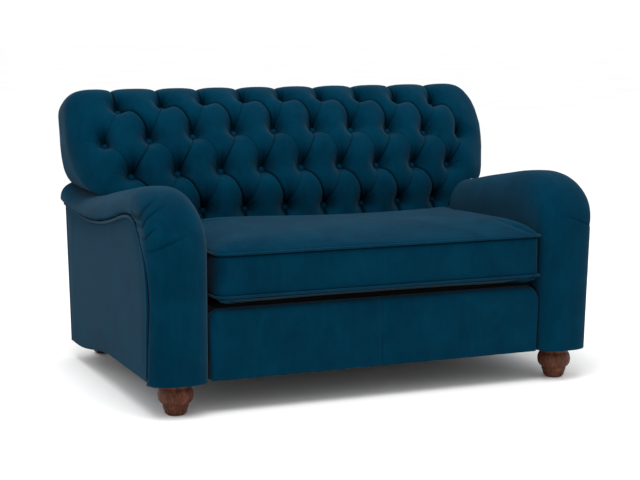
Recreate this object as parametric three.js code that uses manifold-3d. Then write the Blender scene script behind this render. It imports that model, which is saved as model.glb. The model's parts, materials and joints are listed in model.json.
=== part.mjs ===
// Button-backed love seat on turned front feet: a hardwood frame with zigzag springs, padded arms with a
// rolled top, a deep back that sits over the arms, a loose boxed seat cushion and four wooden feet.
// Millimetres, +Z up, the sofa faces -Y, left and right as seen from the front, origin on the floor under
// the middle of the sofa. Every mesh is one separate piece.
import * as THREE from "three";
import { mergeVertices } from "three/addons/utils/BufferGeometryUtils.js";
import Module from "manifold-3d";

const wasm = await Module();
wasm.setup();

// ---- Driving dimensions ----
const GAP = 0.3; // clearance between pieces that touch
const DEPTH = 984;
const FRONT = -DEPTH / 2; // foremost point of the arm fronts
const REAR = DEPTH / 2; // back of the rear feet
const BASE = 96; // underside of the arms and the front border
const SIDE_BASE = 96; // lower edge of the outside arms at the front
const REAR_BASE = 54; // underside at the back, where the base dips
const DIP = { front: -20, length: 400 }; // where the underside runs down to the rear
const ARM = { middle: 613, inner: 527, outer: 710, bow: 76, inside: 562 };
const PANEL = { outer: 702, thick: 12, back: 452, rake: 0.041 }; // outside arms and outside back
const LEAN = { slope: 0.012, from: 480 }; // the outside arms lean in below this height
const SPLAY = { slope: 0.005, from: -440 }; // and stand wider towards the rear
const PIPING = { radius: 4.5, sides: 4 };
const DECK = { low: 244, top: 304 };
const BORDER = { front: -457, back: -424, top: 296, radius: 26 };
const CUSHION = {
  half: 514, front: -465, back: 90, radius: 32,
  bottom: 305, low: 331, high: 452, crown: 494,
};
const BACK = { half: 735, straight: 590, bottom: 560, middle: 740, core: 352, lowHalf: 522, front: 103 };
const BOARD = 15; // plywood thickness
const RAIL = 26; // hardwood thickness
const RAILS = { low: 156, top: 236, outer: 666 };
const POST = { outer: 659.5, inner: 622, low: 300, high: 408, deep: 40, top: 790 }; // raked back posts
const SPRING = { count: 6, pitch: 160, wire: 2, swing: 24, turns: 9, z: RAILS.top + 2.5 };
const STRAP = { width: 50, thick: 2.5, room: 8, heights: [330, 480, 660] };
const FOOT = { x: ARM.middle, y: -407, height: BASE - GAP };
const REAR_FOOT = { x: 593, bottom: 44, top: 52, lean: 44, height: REAR_BASE - GAP };
const GLIDE = 3;
const BOLT = 5; // radius
const BLOCK = { half: 25, high: 34 };

// ---- Materials ----
const finish = (color, roughness, metalness = 0) =>
  new THREE.MeshStandardMaterial({ color, roughness, metalness });
const velvet = finish(0x0b3a52, 0.85);
const walnut = finish(0x6b3f2a, 0.5);
const darkWood = finish(0x2b1c15, 0.6);
const beech = finish(0xc79f6b, 0.7);
const plywood = finish(0xc2a073, 0.75);
const steel = finish(0x8d9094, 0.35, 1);
const foam = finish(0xe3ddc8, 0.9);
const lining = finish(0x17181a, 0.9);
const elastic = finish(0x2c2c30, 0.85);
const nylon = finish(0x202020, 0.5);

// ---- Solids ----
const root = new THREE.Group();

function solidOf(geometry) {
  const bare = geometry.index ? geometry.toNonIndexed() : geometry.clone();
  bare.deleteAttribute("normal");
  bare.deleteAttribute("uv");
  const merged = mergeVertices(bare, 1e-3);
  const vertProperties = merged.attributes.position.array;
  return new wasm.Manifold(
    new wasm.Mesh({ numProp: 3, vertProperties, triVerts: new Uint32Array(merged.index.array) }),
  );
}

function geometryOf(solid) {
  const mesh = solid.getMesh();
  const geometry = new THREE.BufferGeometry();
  geometry.setAttribute("position", new THREE.BufferAttribute(new Float32Array(mesh.vertProperties), 3));
  geometry.setIndex(new THREE.BufferAttribute(new Uint32Array(mesh.triVerts), 1));
  geometry.computeVertexNormals();
  return geometry;
}

const cut = (geometry, ...tools) =>
  geometryOf(tools.reduce((left, tool) => left.subtract(solidOf(tool)), solidOf(geometry)));

const join = (...parts) => geometryOf(parts.map(solidOf).reduce((a, b) => a.add(b)));

function add(name, geometry, material) {
  const mesh = new THREE.Mesh(geometry, material);
  mesh.name = name;
  root.add(mesh);
  return mesh;
}

// One piece on the left and its mirror image on the right.
function addPair(name, geometry, material) {
  add("left_" + name, geometry, material);
  add("right_" + name, geometry, material).scale.x = -1;
}

const box = (x0, x1, y0, y1, z0, z1) =>
  new THREE.BoxGeometry(x1 - x0, y1 - y0, z1 - z0).translate((x0 + x1) / 2, (y0 + y1) / 2, (z0 + z1) / 2);

const shapeOf = (outline) => new THREE.Shape(outline.map(([a, b]) => new THREE.Vector2(a, b)));

// A slab between two planes of constant x; its outline is given as [y, z] points.
const slabX = (outline, x0, x1) =>
  new THREE.ExtrudeGeometry(shapeOf(outline), { depth: x1 - x0, bevelEnabled: false })
    .rotateX(Math.PI / 2)
    .rotateZ(Math.PI / 2)
    .translate(x0, 0, 0);

// A slab between two planes of constant y; its outline is given as [x, z] points.
const slabY = (outline, y0, y1) =>
  new THREE.ExtrudeGeometry(shapeOf(outline), { depth: y1 - y0, bevelEnabled: false })
    .rotateX(Math.PI / 2)
    .translate(0, y1, 0);

const lathe = (points, segments) =>
  new THREE.LatheGeometry(points.map((p) => new THREE.Vector2(...p)), segments).rotateX(Math.PI / 2);

const disc = (radius, z0, z1, segments = 12) =>
  lathe([[0, z0], [radius, z0], [radius, z1], [0, z1]], segments);

const tube = (points, radius, steps, sides) =>
  new THREE.ExtrudeGeometry(new THREE.Shape().absarc(0, 0, radius, 0, 2 * Math.PI), {
    steps,
    extrudePath: new THREE.CatmullRomCurve3(points, false, "centripetal"),
    curveSegments: sides,
  });

// A capped cylinder whose rings of vertices are moved onto the given rings of points.
function loft(rings) {
  const count = rings[0].length;
  const geometry = new THREE.CylinderGeometry(1, 1, 1, count, rings.length - 1);
  const position = geometry.attributes.position;
  const vertex = new THREE.Vector3();
  for (let i = 0; i < position.count; i++) {
    vertex.fromBufferAttribute(position, i);
    const ring = rings[Math.round((0.5 - vertex.y) * (rings.length - 1))];
    const turn = Math.round((Math.atan2(vertex.x, vertex.z) / (2 * Math.PI)) * count);
    if (Math.hypot(vertex.x, vertex.z) > 0.5) vertex.copy(ring[(turn + count) % count]);
    else vertex.copy(ring.reduce((sum, p) => sum.add(p), new THREE.Vector3()).divideScalar(count));
    position.setXYZ(i, ...vertex);
  }
  if (volumeOf(geometry) < 0) geometry.index.array.reverse();
  return geometry;
}

function mirrorX(geometry) {
  geometry.scale(-1, 1, 1);
  geometry.index.array.reverse();
  return geometry;
}

function volumeOf(geometry) {
  const corners = geometry.toNonIndexed().attributes.position;
  const at = (i) => new THREE.Vector3().fromBufferAttribute(corners, i);
  let sum = 0;
  for (let i = 0; i < corners.count; i += 3) sum += at(i).dot(at(i + 1).cross(at(i + 2)));
  return sum / 6;
}

const mix = (a, b, t) => a + (b - a) * t;
const clamp01 = (t) => Math.min(1, Math.max(0, t));
const smooth = (t) => t * t * (3 - 2 * t);
const superellipse = (t, n) => (1 - clamp01(Math.abs(t)) ** n) ** (1 / n);
const spline = (points) => new THREE.SplineCurve(points.map((p) => new THREE.Vector2(...p)));

// Height of the underside, which dips towards the rear feet.
const dip = (y) => smooth(clamp01((y - DIP.front) / DIP.length));
const undersideZ = (y) => mix(SIDE_BASE, REAR_BASE, dip(y));

// How much wider than PANEL.outer the left and right sides stand at a point.
const sideSpread = (y, z) => SPLAY.slope * (y - SPLAY.from) - LEAN.slope * (LEAN.from - z);

// Shears a piece of the left side, made upright, so that it leans and splays.
const leaned = (geometry) =>
  geometry.applyMatrix4(
    new THREE.Matrix4().set(
      1, -SPLAY.slope, -LEAN.slope, -sideSpread(0, 0),
      0, 1, 0, 0, 0, 0, 1, 0, 0, 0, 0, 1,
    ),
  );

// Front face of the outside back panel, which leans back a little.
const rearY = (z) => PANEL.back - PANEL.thick + (z - REAR_BASE) * PANEL.rake;

// ---- Arms ----
// Ridge of the arm from the rear to the hump above the front, as [y, z].
const ARM_HUMP = { y: -300, z: 632, drop: 205 };
const armRidge = spline([
  [475, 590], [380, 568], [270, 556], [150, 563], [20, 586], [-140, 612], [-240, 627],
  [ARM_HUMP.y, ARM_HUMP.z],
]);

function armTop(y) {
  if (y < ARM_HUMP.y) {
    const t = (ARM_HUMP.y - y) / (ARM_HUMP.y - FRONT);
    return ARM_HUMP.z - ARM_HUMP.drop * (1 - superellipse(t, 2.3));
  }
  let [low, high] = [0, 1];
  for (let i = 0; i < 20; i++) {
    const half = (low + high) / 2;
    if (armRidge.getPoint(half).x > y) low = half;
    else high = half;
  }
  return armRidge.getPoint(low).y;
}

// Section of the arm at y, larger all round by grow; the front is bowed in plan and the rear end rounded.
function armSection(y, grow = 0) {
  const steps = 11;
  const nose = clamp01((FRONT + ARM.bow - y) / ARM.bow);
  const share = Math.max(superellipse(nose, 2.6), 0.12);
  const flare = 10 * smooth(clamp01((y + 200) / 500));
  const inner = -ARM.middle + (ARM.middle - ARM.inner) * share + grow;
  const outer = -ARM.middle - (ARM.outer + flare - ARM.middle) * share - grow;
  const middle = (inner + outer) / 2;
  const half = (inner - outer) / 2;
  const foot = outer + LEAN.slope * (LEAN.from - BASE) * share;
  const ring = [new THREE.Vector3(foot, y, BASE), new THREE.Vector3(inner, y, BASE)];
  for (let i = 0; i <= steps; i++) {
    const angle = (Math.PI * i) / steps;
    const round = Math.sin(angle) ** 0.8;
    const side = Math.sign(Math.cos(angle)) * Math.abs(Math.cos(angle)) ** 0.8;
    const drop = angle < Math.PI / 2 ? 125 : 62;
    ring.push(new THREE.Vector3(middle + half * side, y, armTop(y) + grow - drop * (1 - round)));
  }
  return ring;
}

const ARM_STATIONS = [
  480, 430, 360, 280, 200, 120, 40, -50, -140, -220, -300,
  -340, -375, -405, -430, -450, -466, -479, -488, FRONT,
];
const armForm = (grow) => loft(ARM_STATIONS.map((y) => armSection(y, grow)));

// The seam where the arm's rolled top and front meet the outside panel, from the rear to the foot.
const seam = new THREE.CatmullRomCurve3(
  [
    [455, 507], [330, 494], [221, 488], [100, 489], [-14, 500], [-94, 513], [-171, 530], [-245, 545],
    [-300, 548], [-345, 536], [-385, 502], [-418, 462], [-439, 405], [-446, 330], [-438, 220], [-428, 112],
  ].map(([y, z]) => new THREE.Vector3(0, y, z)),
  false,
  "centripetal",
);

// The seam moved outwards by a distance, as [y, z] points.
const seamOutline = (distance, steps = 32) =>
  Array.from({ length: steps + 1 }, (_, i) => {
    const point = seam.getPointAt(i / steps);
    const along = seam.getTangentAt(i / steps);
    return [point.y + along.z * distance, point.z - along.y * distance];
  });

// Front of the raked posts inside the back.
const postFront = (z) => mix(POST.low, POST.high, (z - RAILS.top) / (POST.top - RAILS.top));

// A bar between two heights that follows the rake of the posts, as [y, z].
const rakedBar = (z0, z1, front, back) => [
  [postFront(z0) + front, z0],
  [postFront(z0) + back, z0],
  [postFront(z1) + back, z1],
  [postFront(z1) + front, z1],
];

// Everything from the back straps rearwards, where the frame stands.
const frameRoom = () => rakedBar(200, POST.top + 4, -STRAP.room, 400);

function armPad() {
  const below = BASE - 50;
  const shell = -PANEL.outer + PANEL.thick + GAP;
  const edge = seamOutline(PIPING.radius + 1.4);
  const panelRecess = [...edge, [edge.at(-1)[0], below], [600, below], [600, edge[0][1]]];
  const hollow = [
    [-440, below], [-440, 470], [-400, 545], [-300, 585], [-100, 565],
    [110, 527], [300, 508], [600, 505], [600, below],
  ];
  return cut(
    armForm(0),
    leaned(slabX(panelRecess, -900, shell)),
    slabX(hollow, shell - 1, -ARM.inside),
    box(-ARM.inside - 1, -400, BORDER.back, 600, below, RAILS.top + 1),
    slabX(frameRoom(), -POST.outer - 2, -400),
    slabX([[rearY(0), 0], [rearY(700), 700], [600, 700], [600, 0]], -900, -400),
  );
}

function sidePanel() {
  const under = [];
  for (let y = -421; y < 420; y += 48) under.push([y, undersideZ(y)]);
  const rear = [[rearY(76) - 12, REAR_BASE + 2], [rearY(84), 84], [rearY(505), 505]];
  const top = seamOutline(PIPING.radius).filter(([y]) => y < rearY(505) - 4);
  return leaned(slabX([...under, ...rear, ...top], -PANEL.outer, -PANEL.outer + PANEL.thick));
}

function armPiping() {
  const x = -PANEL.outer - PIPING.radius - GAP;
  const path = seamOutline(0, 24).map(([y, z]) => new THREE.Vector3(x - sideSpread(y, z), y, z));
  return tube(path, PIPING.radius, 46, PIPING.sides);
}

// ---- Back ----
// Padded face of the back in side view, from its lower edge over the top, as [y, z].
const backFace = spline([
  [110, BACK.bottom], [135, 640], [172, 725], [216, 790], [262, 841], [330, 875], [410, 869], [462, 845],
]);

// How far the face curves back towards the ends.
const backBow = (x) => 40 * (x / 550) ** 2;

// Section of the padded back at x; its ends are rounded more at the front than at the rear.
function backSection(x) {
  const t = clamp01((Math.abs(x) - BACK.straight) / (BACK.half - BACK.straight));
  const tall = Math.max(superellipse(t, 4), 0.3);
  const share = (y) => (y < BACK.core ? mix(0.34, 1, superellipse(t, 2)) : mix(0.35, 1, superellipse(t, 3)));
  const bow = Math.min(backBow(x), 60);
  const ring = backFace.getPoints(12).map((p) => [p.x + bow * clamp01((400 - p.x) / 300), p.y]);
  ring.push([rearY(BACK.bottom) - 2, BACK.bottom]);
  return ring.map(([y, z]) => new THREE.Vector3(x, mix(BACK.core, y, share(y)), mix(BACK.middle, z, tall)));
}

function mirrored(half) {
  return [...half.map((x) => -x), 0, ...[...half].reverse()];
}

function backPad() {
  const upper = loft(mirrored([BACK.half, 732, 724, 711, 690, 660, 625, 590, 420, 220]).map(backSection));
  const lower = loft(
    mirrored([BACK.lowHalf, 300]).map((x) => {
      const front = BACK.front + backBow(x);
      const low = DECK.top + GAP;
      const face = [[front, low], [front, 400], [front + 1, 500], [front + 10, 585]];
      return [...face, [420, 585], [420, low]].map(([y, z]) => new THREE.Vector3(x, y, z));
    }),
  );
  return cut(
    join(upper, lower),
    slabX(frameRoom(), -POST.outer - 2, POST.outer + 2),
    slabX([[rearY(0) - GAP, 0], [rearY(900) - GAP, 900], [700, 900], [700, 0]], -900, 900),
    armForm(GAP),
    mirrorX(armForm(GAP)),
  );
}

function outsideBack() {
  const [low, shoulder, neck, top] = [REAR_BASE + 2, 505, 560, 838];
  const [narrow, corner] = [660, 78];
  const wide = (z) => PANEL.outer + sideSpread(PANEL.back, z);
  const half = [[wide(low), low], [wide(shoulder), shoulder], [narrow, neck], [narrow, top - corner]];
  for (let i = 1; i <= 5; i++) {
    const angle = (Math.PI / 2) * (i / 5);
    half.push([narrow - corner + corner * Math.cos(angle), top - corner + corner * Math.sin(angle)]);
  }
  const outline = [...half, ...half.map(([x, z]) => [-x, z]).reverse()];
  const lean = new THREE.Matrix4().set(1, 0, 0, 0, 0, 1, PANEL.rake, rearY(0) + GAP, 0, 0, 1, 0, 0, 0, 0, 1);
  return slabY(outline, 0, PANEL.thick - GAP).applyMatrix4(lean);
}

// ---- Seat ----
// Rounded rectangle in plan as [x, y] points.
function cushionOutline(inset, perCorner = 4) {
  const radius = Math.max(CUSHION.radius - inset, 6);
  const half = CUSHION.half - inset - radius;
  const [front, back] = [CUSHION.front + inset + radius, CUSHION.back - inset - radius];
  const corners = [[half, back], [-half, back], [-half, front], [half, front]];
  return corners.flatMap(([x, y], quarter) =>
    Array.from({ length: perCorner + 1 }, (_, i) => {
      const angle = (Math.PI / 2) * (quarter + i / perCorner);
      return [x + radius * Math.cos(angle), y + radius * Math.sin(angle)];
    }),
  );
}

// Crowned box cushion, smaller all round by inset.
function cushionForm(inset) {
  const levels = [
    [40, CUSHION.bottom + inset],
    [4, CUSHION.low - 16 + inset / 2],
    [0, CUSHION.low + inset / 2],
    [0, CUSHION.high - inset / 2],
    [9, CUSHION.high + 8 - inset / 2],
    [30, CUSHION.high + 24 - inset],
    [85, CUSHION.crown - 8 - inset],
    [190, CUSHION.crown - inset],
  ];
  const ring = ([step, z]) => cushionOutline(inset + step).map(([x, y]) => new THREE.Vector3(x, y, z));
  return loft(levels.map(ring));
}

// Piping cord around the cushion at the height z.
function cushionPiping(z) {
  const [thick, bevel] = [3, 2.5];
  const shape = shapeOf(cushionOutline(-GAP - 2 * bevel - thick));
  const hole = cushionOutline(-GAP - bevel).map((p) => new THREE.Vector2(...p));
  shape.holes.push(new THREE.Path(hole.reverse()));
  return new THREE.ExtrudeGeometry(shape, {
    depth: thick,
    bevelThickness: bevel,
    bevelSize: bevel,
    bevelSegments: 1,
  }).translate(0, 0, z - thick / 2);
}

const ZIP = { half: 230, height: 12, z: (CUSHION.low + CUSHION.high) / 2 };
const COVER = 3; // thickness of the cushion's cover

function zipBox(gap, y0, y1) {
  const half = ZIP.height / 2 - gap;
  return box(-ZIP.half + gap, ZIP.half - gap, y0, y1, ZIP.z - half, ZIP.z + half);
}

function zigzagSpring(x) {
  const perTurn = 4;
  const steps = SPRING.turns * perTurn;
  const [from, to] = [BORDER.back + 10, POST.low + 12];
  const points = Array.from({ length: steps + 1 }, (_, i) => {
    const swing = SPRING.swing * Math.sin((i / perTurn) * 2 * Math.PI);
    return new THREE.Vector3(x + swing, mix(from, to, i / steps), SPRING.z);
  });
  return tube(points, SPRING.wire, steps, 3);
}

function frontBorder() {
  const { front, back, top, radius } = BORDER;
  const face = [[front, BASE]];
  for (let i = 0; i <= 4; i++) {
    const angle = (Math.PI / 2) * (i / 4);
    face.push([front + radius * (1 - Math.cos(angle)), top - radius * (1 - Math.sin(angle))]);
  }
  face.push([back - GAP, top], [back - GAP, BASE]);
  return slabX(face, -ARM.inner + 1, ARM.inner - 1);
}

// ---- Underside ----
function dustCover() {
  const stations = [BORDER.back, -20, 40, 90, 140, 190, 240, 290, 340, 380, rearY(70) - 4];
  const under = stations.map((y) => [y, mix(FOOT.height, REAR_FOOT.height, dip(y)) + 0.8]);
  const over = under.map(([y, z]) => [y, z + 1.5]).reverse();
  const boltHoles = [-1, 1].flatMap((sign) => [[sign * FOOT.x, FOOT.y], [sign * REAR_FOOT.x, rearFootTop()]]);
  const sheet = slabX([...under, ...over], -RAILS.outer, RAILS.outer);
  return cut(sheet, ...boltHoles.map(([x, y]) => disc(BOLT + 2, 0, 200).translate(x, y, 0)));
}

// ---- Feet ----
const rearFootTop = () => REAR - REAR_FOOT.lean - REAR_FOOT.top / 2;

function turnedFoot() {
  const outline = new THREE.Path();
  outline.moveTo(0, GLIDE);
  outline.lineTo(28, GLIDE);
  outline.lineTo(30.5, 7);
  outline.quadraticCurveTo(34, 16, 37, 24);
  outline.lineTo(37, 31);
  outline.lineTo(40, 34);
  outline.quadraticCurveTo(51, 44, 52, 57);
  outline.quadraticCurveTo(52, 70, 44, 78);
  outline.quadraticCurveTo(43, 82, 46, 86);
  outline.lineTo(47, FOOT.height);
  outline.lineTo(0, FOOT.height);
  return new THREE.LatheGeometry(outline.getPoints(3), 28).rotateX(Math.PI / 2);
}

// Square tapered block that leans backwards towards the floor.
function rearFoot() {
  const ring = (width, back, z) =>
    [[-1, -1], [1, -1], [1, 1], [-1, 1]].map(
      ([x, y]) => new THREE.Vector3((x * width) / 2, back + ((y - 1) * width) / 2, z),
    );
  return loft([ring(REAR_FOOT.top, -REAR_FOOT.lean, REAR_FOOT.height), ring(REAR_FOOT.bottom, 0, GLIDE)]);
}

// Bolt, corner block, tee nut and glide of one foot.
function footFittings(name, x, top, bolt, glide) {
  const block = { low: top + 3, high: top + 3 + BLOCK.high };
  const bore = () => disc(BOLT + GAP, 0, 300);
  const place = (geometry, at) => geometry.translate(x, at.y, 0);
  add(`${name}_glide`, place(disc(glide.radius, 0, GLIDE - GAP, 16), glide), nylon);
  add(`${name}_foot_bolt`, place(disc(BOLT, top + GAP, block.high + 16), bolt), steel);
  const blank = box(-BLOCK.half, BLOCK.half, bolt.front, bolt.back, block.low, block.high);
  add(`${name}_corner_block`, place(cut(blank, bore()), bolt), beech);
  const seat = block.high;
  const flange = [[0, seat + GAP], [14, seat + GAP], [14, seat + 3]];
  const nut = lathe([...flange, [8, seat + 3], [8, seat + 12], [0, seat + 12]], 12);
  add(`${name}_tee_nut`, place(cut(nut, bore()), bolt), steel);
}

// ---- Frame ----
function sideRail() {
  const under = [BORDER.back, -20, 40, 100, 160, 220, 280, 340].map((y) => [y, undersideZ(y) + 5]);
  const outline = [...under, [432, REAR_BASE + 7], [432, RAILS.top], [BORDER.back, RAILS.top]];
  return slabX(outline, -RAILS.outer, -RAILS.outer + RAIL);
}

function armFrontBoard() {
  const back = BORDER.back - GAP;
  return box(-RAILS.outer, -ARM.inside - 1, back - BOARD, back, RAILS.low, 462);
}

// ---- Assembly ----
// Upholstery
addPair("arm_pad", armPad(), velvet);
addPair("side_panel", sidePanel(), velvet);
addPair("arm_piping", armPiping(), velvet);
add("back_pad", backPad(), velvet);
add("outside_back", outsideBack(), velvet);
add("front_border", frontBorder(), velvet);
add("seat_deck", box(-ARM.inner + 1, ARM.inner - 1, BORDER.back, 285, DECK.low, DECK.top), lining);
add("dust_cover", dustCover(), lining);

// Loose seat cushion
const zipSlot = zipBox(0, CUSHION.back - 2 * COVER, CUSHION.back + 5);
add("cushion_cover", cut(cushionForm(0), cushionForm(COVER), zipSlot), velvet);
add("cushion_core", cushionForm(COVER + GAP), foam);
add("cushion_zip", zipBox(GAP, CUSHION.back - COVER + GAP, CUSHION.back - GAP), nylon);
add("cushion_top_piping", cushionPiping(CUSHION.high), velvet);
add("cushion_bottom_piping", cushionPiping(CUSHION.low), velvet);

// Frame
const endRail = RAILS.outer - RAIL - GAP; // half length of the rails between the side rails
add("front_rail", box(-endRail, endRail, BORDER.back, BORDER.back + RAIL, RAILS.low, RAILS.top), beech);
const rearHalf = POST.inner - GAP;
add("rear_seat_rail", box(-rearHalf, rearHalf, POST.low, POST.low + 40, 170, RAILS.top), beech);
add("rear_base_rail", box(-endRail, endRail, 408, 432, 120, RAILS.top), beech);
add("centre_rail", box(-RAIL / 2, RAIL / 2, BORDER.back + RAIL + GAP, POST.low - GAP, 150, 225), beech);
addPair("side_rail", sideRail(), beech);
addPair("arm_front_board", armFrontBoard(), plywood);
addPair("arm_rail", box(-POST.outer + 12, -POST.inner - 4, BORDER.back, 340, 470, 496), beech);
const postOutline = rakedBar(RAILS.top + GAP, POST.top, 0, POST.deep);
addPair("back_post", slabX(postOutline, -POST.outer, -POST.inner), beech);
add("back_top_rail", slabX(rakedBar(720, 785, 0, 24), -POST.inner + GAP, POST.inner - GAP), beech);
add("back_middle_rail", slabX(rakedBar(560, 610, 0, 24), -POST.inner + GAP, POST.inner - GAP), beech);

// Springs and back straps
for (let i = 0; i < SPRING.count; i++) {
  add(`seat_spring_${i + 1}`, zigzagSpring((i - (SPRING.count - 1) / 2) * SPRING.pitch), steel);
}
STRAP.heights.forEach((z, i) => {
  const strap = rakedBar(z, z + STRAP.width, -GAP - STRAP.thick, -GAP);
  add(`back_strap_${i + 1}`, slabX(strap, -POST.outer, POST.outer), elastic);
});

// Feet
for (const [side, sign] of [["left", -1], ["right", 1]]) {
  const front = add(`${side}_front_foot`, turnedFoot(), walnut);
  front.position.set(sign * FOOT.x, FOOT.y, 0);
  const rear = add(`${side}_rear_foot`, rearFoot(), darkWood);
  rear.position.set(sign * REAR_FOOT.x, REAR, 0);
  const frontBolt = { y: FOOT.y, front: -31, back: 36 };
  footFittings(`${side}_front`, sign * FOOT.x, FOOT.height, frontBolt, { y: FOOT.y, radius: 24 });
  footFittings(
    `${side}_rear`,
    sign * REAR_FOOT.x,
    REAR_FOOT.height,
    { y: rearFootTop(), front: -36, back: 12 },
    { y: REAR - REAR_FOOT.bottom / 2, radius: 16 },
  );
}

export default root;
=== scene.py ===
"""Looks of the button-backed love seat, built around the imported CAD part.

Shapes are worked out in millimetres in the part's own frame (+Z up, the sofa faces -Y, origin on the floor
under its middle) and become metres when a mesh is made. Left and right are as seen from the front.
"""

import json
import math

import bmesh
import bpy
import numpy as np
from mathutils import Euler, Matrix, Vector


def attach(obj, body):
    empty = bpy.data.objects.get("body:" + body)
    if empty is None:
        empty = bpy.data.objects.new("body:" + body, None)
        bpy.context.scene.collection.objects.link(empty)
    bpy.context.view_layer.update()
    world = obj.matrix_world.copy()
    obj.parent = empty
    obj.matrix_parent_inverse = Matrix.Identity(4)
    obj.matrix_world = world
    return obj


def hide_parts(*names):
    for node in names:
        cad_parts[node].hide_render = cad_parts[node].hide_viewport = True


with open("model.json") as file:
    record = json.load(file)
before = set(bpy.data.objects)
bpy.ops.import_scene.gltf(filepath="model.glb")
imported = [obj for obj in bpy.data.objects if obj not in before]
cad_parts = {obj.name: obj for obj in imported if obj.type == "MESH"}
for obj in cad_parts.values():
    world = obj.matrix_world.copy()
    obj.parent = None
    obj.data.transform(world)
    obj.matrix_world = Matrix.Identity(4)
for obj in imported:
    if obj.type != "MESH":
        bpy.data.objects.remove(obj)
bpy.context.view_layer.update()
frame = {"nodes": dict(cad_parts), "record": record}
MM = 0.001

# ---- Sizes shared with the CAD part ----
FRONT = -492.0  # foremost point of the arm fronts
BASE, REAR_BASE = 96.0, 54.0  # underside at the front and at the rear
DIP_FRONT, DIP_BACK = -20.0, 380.0  # where it runs down from the one to the other
PANEL_X = 702.0  # outside arms
PANEL_REAR = 452.0
RAKE = 0.041  # lean of the outside back
BACK_PANEL_TOP = 660.0  # half width of the outside back above the arms
SHOULDER_LOW, SHOULDER_RISE = 505.0, 55.0  # where it narrows from the arms' width to that
SHOULDER_TOP, PANEL_TOP = 760.0, 838.0  # start of its rounded upper corners, and its top
ARM_MID, ARM_INNER, ARM_OUTER, ARM_REAR = 613.0, 527.0, 710.0, 450.0
ARM_BOW, BOW_POWER = 76.0, 2.6  # depth and fullness of the arms' bowed fronts
ROLL_FLARE = 10.0  # how much further out the rolls stand at the rear
ROLL_POWER = 0.8  # fullness of the arms' rolled tops
ROLL_DROP_INSIDE, ROLL_DROP_OUTSIDE = 125.0, 62.0  # how far the rolls curve down on each side
LEAN_TOP = 480.0  # below this height the outside of each arm leans in towards the floor
LEAN = {"left": 0.012, "right": 0.040}  # by this share; the right arm is pulled in more
SPLAY, SPLAY_FROM = 0.005, -440.0  # behind this point the outsides spread by this share
ROLL_TUCK = 14.0  # how far the roll's cover turns in behind its piping
HUMP_Y, HUMP_Z, HUMP_DROP, HUMP_POWER = -300.0, 632.0, 205.0, 2.3  # the arms' highest part
PIPING, WELT = 4.5, 3.8  # radius of the arms' piping and of the cushion's
# (y, z) of the seam between an arm's roll and its outside
SEAM = [
    (455, 507), (330, 494), (221, 488), (100, 489), (-14, 500), (-94, 513), (-171, 530), (-245, 545),
    (-300, 548), (-345, 536), (-385, 502), (-418, 462), (-439, 405), (-446, 330), (-438, 220), (-428, 112),
]
# (y, z) of the arms' ridge behind the hump
ARM_RIDGE = [(475, 590), (380, 568), (270, 556), (150, 563), (20, 586), (-140, 612), (-240, 627), (-300, 632)]
BACK_HALF, BACK_STRAIGHT = 735.0, 590.0  # half width of the back, and of its part before the ends round off
BACK_CORE, BACK_MIDDLE = 352.0, 740.0  # (y, z) that its ends close on
BACK_REAR = 458.0
# (z, extra half width of its left end, and of its right end, which is packed a little rounder)
BACK_SPREAD = [
    (560, -26, -32), (615, -14, -20), (665, -6, -9), (700, -1, -5), (740, 1, -4), (790, 1, -12),
    (820, 1, -20), (845, 0, -30), (880, -2, -40),
]
# (x, z) of its foot on the arms
BACK_REST = [(520, 304), (527, 440), (545, 500), (575, 545), (613, 556), (740, 550)]
# (y, z) up its face from the seat, over the crest, to its rear edge
BACK_FACE = [
    (103, 304), (103, 400), (104, 500), (112, 570), (133, 640), (171, 725), (215, 790), (262, 841),
    (330, 875), (410, 869), (462, 845),
]
CUSHION_HALF, CUSHION_FRONT, CUSHION_BACK = 514.0, -465.0, 90.0
CUSHION_LOW, CUSHION_HIGH, CUSHION_CROWN = 331.0, 452.0, 494.0
CUSHION_SHIFT = 8.0  # it lies nearer to the right arm
CUSHION_GAP = 13.0  # between its boxing and the left arm
CUSHION_CORNERS = (24.0, 24.0, 34.0, 15.0)  # radii: rear right, rear left, front left, front right
DECK_TOP = 304.0

# ---- Numbers of the buttoning ----
PITCH = 138.0  # between buttons in a row
ROW_HEIGHT = [617, 478, 335, 195]  # along the face of the back, top row first
ROW_ARCH = [46, 40, 16, 0]  # how much lower each row is at ARCH_HALF from the middle
ARCH_HALF = 550.0
ROW_COUNT = [9, 10, 9, 8]
ROW_SHIFT = [-8, 0, 3, 6]  # hand work: whole rows sit a little to one side
ROW_DEPTH = [46, 46, 44, 46]  # of the pits
BUTTON_RISE = -1.5  # of the buttons above the bottom of their pits
END_DRIFT = 20.0  # how far the buttons at the left end stray outwards


# ---- Curves and surfaces in numpy ----
def spline(points, count):
    """Points spread evenly along a natural cubic through the given points."""
    points = np.asarray(points, float)
    t = np.r_[0, np.cumsum(np.linalg.norm(np.diff(points, axis=0), axis=1))]
    h = np.diff(t)
    n = len(points)
    matrix = np.eye(n)
    right = np.zeros((n, points.shape[1]))
    slope = np.diff(points, axis=0) / h[:, None]
    for i in range(1, n - 1):
        matrix[i, i - 1 : i + 2] = h[i - 1], 2 * (h[i - 1] + h[i]), h[i]
        right[i] = 3 * (slope[i] - slope[i - 1])
    c = np.linalg.solve(matrix, right)
    fine = np.linspace(0, t[-1], count * 6)
    k = np.clip(np.searchsorted(t, fine) - 1, 0, n - 2)
    d = (fine - t[k])[:, None]
    hk = h[k][:, None]
    leaving = slope[k] - hk * (2 * c[k] + c[k + 1]) / 3
    curve = points[k] + leaving * d + c[k] * d**2 + (c[k + 1] - c[k]) / (3 * hk) * d**3
    return resample(curve, count)


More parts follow.
